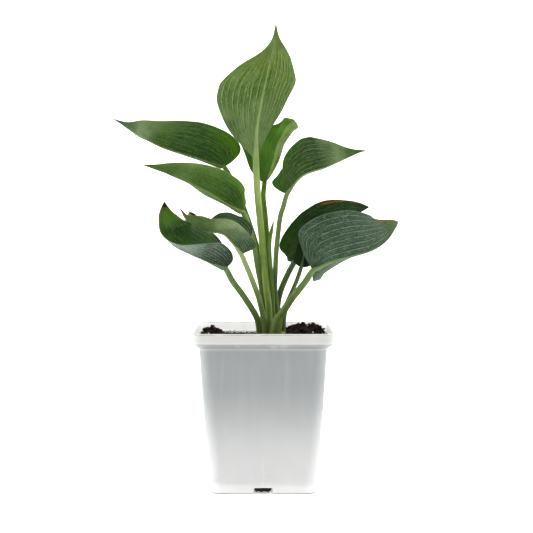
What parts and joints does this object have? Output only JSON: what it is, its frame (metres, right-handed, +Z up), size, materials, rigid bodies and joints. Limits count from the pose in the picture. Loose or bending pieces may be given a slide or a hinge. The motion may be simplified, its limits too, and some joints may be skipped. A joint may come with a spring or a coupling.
{
  "type": "potted hosta plant",
  "caption": "Hosta plant with broad pointed veined leaves on upright stalks, growing from dark potting soil in a white square plastic nursery pot.",
  "frame": {"origin": "centre of the pot's foot, on the surface the pot stands on", "axes": "+Z up along the pot's axis, +X towards the lower right leaf, -Y towards the front of the plant"},
  "size_m": [0.2686, 0.1383, 0.4381],
  "materials": {
    "pot_plastic": "white injection-moulded plastic, satin",
    "potting_mix": "dark bark and peat mix",
    "crown_flesh": "pale stem base",
    "top_leaf_green": "waxy leaf, veined",
    "upper_left_leaf_green": "waxy leaf, veined",
    "mid_left_leaf_green": "waxy leaf, veined",
    "lower_left_leaf_green": "waxy leaf, veined",
    "front_left_leaf_green": "waxy leaf, veined",
    "upper_right_leaf_green": "waxy leaf, veined",
    "centre_back_leaf_green": "waxy leaf, veined",
    "lower_right_back_leaf_green": "waxy leaf, veined",
    "lower_right_leaf_green": "waxy leaf, veined",
    "small_leaf_green": "waxy leaf, veined",
    "stalk_green": "smooth green stalk",
    "spear_green": "smooth young leaf"
  },
  "bodies": {
    "root": {"pot": "pot_plastic", "potting_soil": "potting_mix", "crown": "crown_flesh", "top_leaf_blade": "top_leaf_green", "top_leaf_stalk": "stalk_green", "upper_left_leaf_blade": "upper_left_leaf_green", "upper_left_leaf_stalk": "stalk_green", "mid_left_leaf_blade": "mid_left_leaf_green", "mid_left_leaf_stalk": "stalk_green", "lower_left_leaf_blade": "lower_left_leaf_green", "lower_left_leaf_stalk": "stalk_green", "front_left_leaf_blade": "front_left_leaf_green", "front_left_leaf_stalk": "stalk_green", "upper_right_leaf_blade": "upper_right_leaf_green", "upper_right_leaf_stalk": "stalk_green", "centre_back_leaf_blade": "centre_back_leaf_green", "centre_back_leaf_stalk": "stalk_green", "lower_right_back_leaf_blade": "lower_right_back_leaf_green", "lower_right_back_leaf_stalk": "stalk_green", "lower_right_leaf_blade": "lower_right_leaf_green", "lower_right_leaf_stalk": "stalk_green", "small_leaf_blade": "small_leaf_green", "small_leaf_stalk": "stalk_green", "spear_leaf": "spear_green"}
  },
  "joints": []
}
